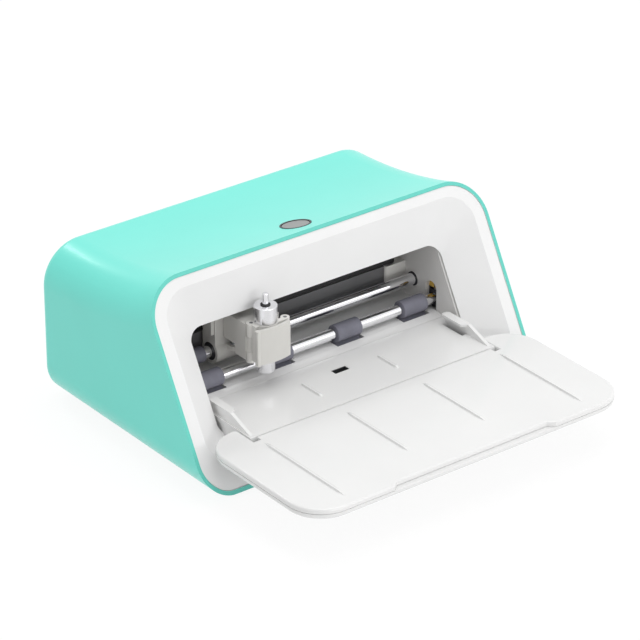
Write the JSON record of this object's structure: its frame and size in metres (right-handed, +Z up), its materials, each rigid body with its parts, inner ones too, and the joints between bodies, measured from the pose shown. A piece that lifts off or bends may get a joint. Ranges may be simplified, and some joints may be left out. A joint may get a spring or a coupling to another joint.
{
  "type": "die cutting machine",
  "caption": "Desktop electronic die cutting machine with a fold-down front tray, feed and pinch rollers and a belt-driven blade carriage in a rounded shell.",
  "frame": {"origin": "centre of the bounding box on the table, under the rubber feet, with the tray open", "axes": "+X to the machine's right seen from the front, +Y from the tray to the back panel, +Z up"},
  "size_m": [0.265, 0.274, 0.1251],
  "materials": {
    "shell_turquoise": "gloss",
    "white_plastic": "gloss",
    "bezel_white": "satin",
    "wall_white": "satin",
    "grey_plastic": "satin",
    "light_grey_plastic": "satin",
    "dark_plastic": "satin",
    "slate_rubber": "matt",
    "black_rubber": "matt",
    "bright_steel": "polished",
    "spring_steel": "drawn",
    "holder_aluminium": "turned",
    "blade_steel": "ground",
    "motor_steel": "brushed",
    "sheet_steel": "painted",
    "beam_paint": "powder coated",
    "brass": "turned",
    "yellow_plastic": "satin",
    "board_green": "solder mask",
    "window_glass": "clear tinted",
    "button_grey": "satin",
    "gear_white": "moulded"
  },
  "bodies": {
    "chassis": {"outer_sleeve": "shell_turquoise", "front_bezel": "bezel_white", "front_platform": "white_plastic", "rear_bed": "white_plastic", "base_pan": "sheet_steel", "rail_beam": "beam_paint", "idler_block": "light_grey_plastic", "guide_rod": "bright_steel", "rod_bumper": "slate_rubber", "feed_motor": "motor_steel", "drive_belt": "black_rubber", "motor_bracket": "sheet_steel", "carriage_motor": "motor_steel", "button_ring": "dark_plastic", "button_switch": "dark_plastic", "rear_panel": "bezel_white", "control_board": "board_green", "dc_jack": "dark_plastic", "usb_socket": "bright_steel", "rubber_feet": "black_rubber", "rod_collars": "dark_plastic", "pinch_spring_caps": "yellow_plastic", "pinch_springs": "spring_steel", "feed_bushes": "brass", "rear_panel_screws": "spring_steel", "mat_guide_left": "white_plastic", "mat_guide_right": "white_plastic", "left_wall": "wall_white", "right_wall": "wall_white", "sensor_window": "window_glass"},
    "tray": {"tray_panel": "white_plastic", "tray_cover": "white_plastic", "tray_hinge_pins": "bright_steel"},
    "carriage": {"carriage_base": "grey_plastic", "carriage_bushes": "dark_plastic", "belt_clip": "dark_plastic", "lift_guide_pins": "bright_steel", "lift_solenoid": "motor_steel", "lift_springs": "spring_steel"},
    "tool_head": {"tool_block": "grey_plastic", "solenoid_plunger": "bright_steel", "blade_holder": "holder_aluminium", "plunger_seal": "black_rubber", "clamp_pin": "bright_steel"},
    "clamp": {"clamp_arm": "light_grey_plastic", "lever_pin": "bright_steel"},
    "lever": {"clamp_lever": "grey_plastic"},
    "plunger": {"eject_plunger": "bright_steel", "blade": "blade_steel"},
    "pinch_carrier": {"pinch_blocks": "dark_plastic"},
    "pinch_roller": {"pinch_shaft": "bright_steel", "pinch_rollers": "slate_rubber"},
    "feed_roller": {"feed_shaft": "bright_steel", "feed_rollers": "slate_rubber", "feed_gear": "gear_white"},
    "pinion": {"feed_pinion": "brass"},
    "motor_pulley": {"drive_pulley": "holder_aluminium"},
    "far_pulley": {"idler_pulley": "dark_plastic"},
    "button": {"power_button": "button_grey"}
  },
  "joints": [
    {"name": "tray_hinge", "type": "hinge", "parent": "chassis", "child": "tray", "pos_m": [0, -0.03186, 0.0321], "axis": [-1, 0, 0], "range_deg": [0, 119]},
    {"name": "carriage_slide", "type": "slide", "parent": "chassis", "child": "carriage", "axis": [1, 0, 0], "range_m": [-0.003, 0.11]},
    {"name": "tool_lift", "type": "slide", "parent": "carriage", "child": "tool_head", "axis": [0, 0, 1], "range_m": [-0.0035, 0], "stiffness_N_per_m": 400, "springref_m": 0.003, "deforming": ["lift_springs"]},
    {"name": "clamp_swing", "type": "hinge", "parent": "tool_head", "child": "clamp", "pos_m": [-0.056, 0.016, 0.0655], "axis": [0, 0, 1], "range_deg": [-70, 0]},
    {"name": "lever_swing", "type": "hinge", "parent": "clamp", "child": "lever", "pos_m": [-0.0344, 0.0096, 0.0655], "axis": [0, 0, -1], "range_deg": [-70, 0]},
    {"name": "plunger_press", "type": "slide", "parent": "tool_head", "child": "plunger", "axis": [0, 0, 1], "range_m": [-0.002, 0], "stiffness_N_per_m": 800, "springref_m": 0.001},
    {"name": "pinch_lift", "type": "slide", "parent": "chassis", "child": "pinch_carrier", "axis": [0, 0, 1], "range_m": [0, 0.0015], "stiffness_N_per_m": 1500, "springref_m": -0.002, "deforming": ["pinch_springs"]},
    {"name": "pinch_spin", "type": "hinge", "parent": "pinch_carrier", "child": "pinch_roller", "pos_m": [0, 0.0276, 0.0426], "axis": [1, 0, 0], "continuous": true},
    {"name": "feed_spin", "type": "hinge", "parent": "chassis", "child": "feed_roller", "pos_m": [0, 0.0276, 0.03045], "axis": [1, 0, 0], "continuous": true},
    {"name": "pinion_spin", "type": "hinge", "parent": "chassis", "child": "pinion", "pos_m": [0, 0.05094, 0.01957], "axis": [1, 0, 0], "continuous": true},
    {"name": "motor_pulley_spin", "type": "hinge", "parent": "chassis", "child": "motor_pulley", "pos_m": [-0.086, 0.061, 0.0645], "axis": [0, 0, 1], "range_deg": [-40, 1260]},
    {"name": "far_pulley_spin", "type": "hinge", "parent": "chassis", "child": "far_pulley", "pos_m": [0.086, 0.061, 0.0645], "axis": [0, 0, 1], "range_deg": [-40, 1260]},
    {"name": "power_button_press", "type": "slide", "parent": "chassis", "child": "button", "axis": [0, -0.2458, -0.9693], "range_m": [0, 0.0011], "stiffness_N_per_m": 900, "springref_m": -0.0005}
  ],
  "couplings": [
    {"joint": "pinch_spin", "follows": "feed_spin", "ratio": -1.0169},
    {"joint": "pinion_spin", "follows": "feed_spin", "ratio": -3},
    {"joint": "motor_pulley_spin", "follows": "carriage_slide", "rad_per_m": 196.46},
    {"joint": "far_pulley_spin", "follows": "carriage_slide", "rad_per_m": 196.46}
  ]
}
